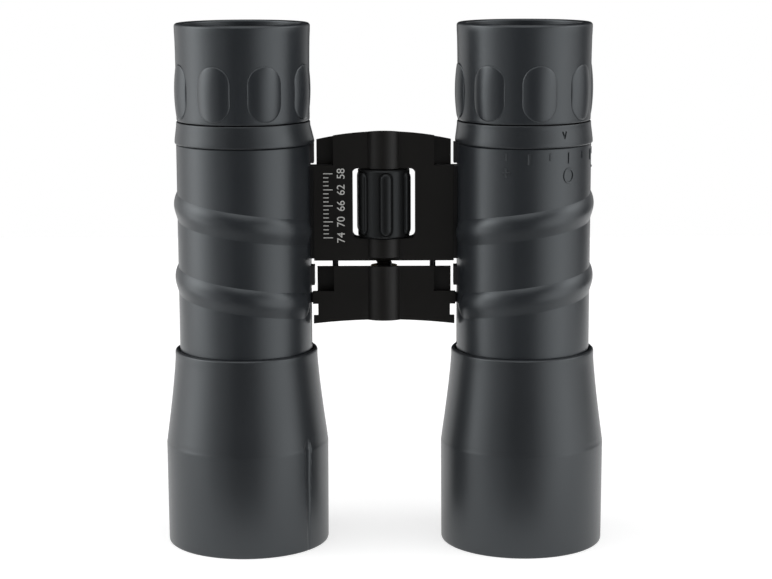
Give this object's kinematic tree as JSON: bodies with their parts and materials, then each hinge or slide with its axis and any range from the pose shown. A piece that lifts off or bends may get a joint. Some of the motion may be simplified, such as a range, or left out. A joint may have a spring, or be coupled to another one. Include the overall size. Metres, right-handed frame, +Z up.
{
  "type": "compact double-hinge binoculars",
  "caption": "Compact roof-prism binoculars with folding barrels, a central focusing wheel in a bridge window, a dioptre ring and twist-up eyecups, standing on their lens hoods.",
  "frame": {"origin": "middle of the footprint, on the plane of the two lens hood rims that the part stands on", "axes": "+Z up along the barrels towards the eyecups, +X towards the barrel with the dioptre ring, the focusing bridge's printed face towards -Y"},
  "size_m": [0.108, 0.04, 0.128],
  "materials": {
    "bridge_black": "warm near-black satin enamel",
    "barrel_black": "matte black, thin-walled light alloy",
    "grip_rubber": "bluish dark grey satin armour",
    "hood_rubber": "bluish dark grey satin armour",
    "eyecup_rubber": "bluish dark grey satin rubber",
    "ring_plastic": "bluish dark grey satin",
    "wheel_rubber": "near-black satin",
    "inner_plastic": "matte black, baffled",
    "lens_barrel": "matte black anodised",
    "steel": "ground",
    "brass": "turned",
    "coated_glass": "polished, coated"
  },
  "bodies": {
    "bridge": {"upper_bridge": "bridge_black", "left_hinge_rod": "steel", "right_hinge_rod": "steel", "shaft_bushing": "brass", "thrust_washers": "steel"},
    "focus_wheel": {"focus_wheel": "wheel_rubber", "focus_screw": "steel", "wheel_pin": "steel"},
    "focus_bridge": {"focus_bridge": "bridge_black", "focus_nut": "brass"},
    "left_barrel": {"left_barrel": "barrel_black", "left_grip": "grip_rubber", "left_hood": "hood_rubber", "left_eyepiece_tube": "lens_barrel", "left_prism_cage": "inner_plastic", "left_prism_lower": "coated_glass", "left_prism_roof": "coated_glass", "left_collar": "ring_plastic", "left_ocular_cell": "lens_barrel", "left_field_stop": "inner_plastic", "left_field_lens": "coated_glass", "left_ocular_spacer": "inner_plastic", "left_eye_lens": "coated_glass", "left_ocular_ring": "inner_plastic"},
    "left_carrier": {"left_carrier": "lens_barrel", "left_focus_arm": "steel", "left_objective_crown": "coated_glass", "left_objective_flint": "coated_glass", "left_objective_ring": "inner_plastic"},
    "left_glide": {"left_glide_ring": "inner_plastic"},
    "left_eyecup": {"left_eyecup": "eyecup_rubber", "left_eyecup_sleeve": "inner_plastic"},
    "right_barrel": {"right_barrel": "barrel_black", "right_grip": "grip_rubber", "right_hood": "hood_rubber", "right_eyepiece_tube": "lens_barrel", "right_prism_cage": "inner_plastic", "right_prism_lower": "coated_glass", "right_prism_roof": "coated_glass"},
    "right_carrier": {"right_carrier": "lens_barrel", "right_focus_arm": "steel", "right_objective_crown": "coated_glass", "right_objective_flint": "coated_glass", "right_objective_ring": "inner_plastic"},
    "right_glide": {"right_glide_ring": "inner_plastic"},
    "right_eyecup": {"right_eyecup": "eyecup_rubber", "right_eyecup_sleeve": "inner_plastic"},
    "dioptre_ring": {"dioptre_ring": "ring_plastic"},
    "right_ocular": {"right_ocular_cell": "lens_barrel", "right_field_stop": "inner_plastic", "right_field_lens": "coated_glass", "right_ocular_spacer": "inner_plastic", "right_eye_lens": "coated_glass", "right_ocular_ring": "inner_plastic", "dioptre_pin": "steel"}
  },
  "joints": [
    {"name": "left_hinge", "type": "hinge", "parent": "bridge", "child": "left_barrel", "pos_m": [-0.0119, 0, 0.0845], "axis": [0, 0, -1], "range_deg": [0, 67]},
    {"name": "right_hinge", "type": "hinge", "parent": "bridge", "child": "right_barrel", "pos_m": [0.0119, 0, 0.0845], "axis": [0, 0, 1], "range_deg": [0, 67]},
    {"name": "focus_wheel_turn", "type": "hinge", "parent": "bridge", "child": "focus_wheel", "pos_m": [0, 0, 0.0845], "axis": [0, 0, 1], "range_deg": [-108.1, 300.1]},
    {"name": "focus_slide", "type": "slide", "parent": "bridge", "child": "focus_bridge", "axis": [0, 0, 1], "range_m": [-0.0025, 0.0009]},
    {"name": "left_carrier_slide", "type": "slide", "parent": "left_barrel", "child": "left_carrier", "axis": [0, 0, 1], "range_m": [-0.0025, 0.0009]},
    {"name": "right_carrier_slide", "type": "slide", "parent": "right_barrel", "child": "right_carrier", "axis": [0, 0, 1], "range_m": [-0.0025, 0.0009]},
    {"name": "dioptre_turn", "type": "hinge", "parent": "right_barrel", "child": "dioptre_ring", "pos_m": [0.034, 0, 0.1018], "axis": [0, 0, 1], "range_deg": [-55.1, 53.1]},
    {"name": "right_ocular_slide", "type": "slide", "parent": "right_barrel", "child": "right_ocular", "axis": [0, 0, 1], "range_m": [-0.000427, 0.000443]},
    {"name": "left_eyecup_turn", "type": "hinge", "parent": "left_glide", "child": "left_eyecup", "pos_m": [-0.034, 0, 0.116], "axis": [0, 0, 1], "range_deg": [0, 120.1]},
    {"name": "left_glide_slide", "type": "slide", "parent": "left_barrel", "child": "left_glide", "axis": [0, 0, 1], "range_m": [0, 0.006]},
    {"name": "right_eyecup_turn", "type": "hinge", "parent": "right_glide", "child": "right_eyecup", "pos_m": [0.034, 0, 0.116], "axis": [0, 0, 1], "range_deg": [0, 120.1]},
    {"name": "right_glide_slide", "type": "slide", "parent": "right_barrel", "child": "right_glide", "axis": [0, 0, 1], "range_m": [0, 0.006]}
  ],
  "couplings": [
    {"joint": "focus_wheel_turn", "follows": "focus_slide", "rad_per_m": -2094.4},
    {"joint": "left_carrier_slide", "follows": "focus_slide", "ratio": 1},
    {"joint": "left_eyecup_turn", "follows": "left_glide_slide", "rad_per_m": 349.07},
    {"joint": "right_carrier_slide", "follows": "focus_slide", "ratio": 1},
    {"joint": "right_eyecup_turn", "follows": "right_glide_slide", "rad_per_m": 349.07},
    {"joint": "dioptre_turn", "follows": "right_ocular_slide", "rad_per_m": -2166.6}
  ]
}
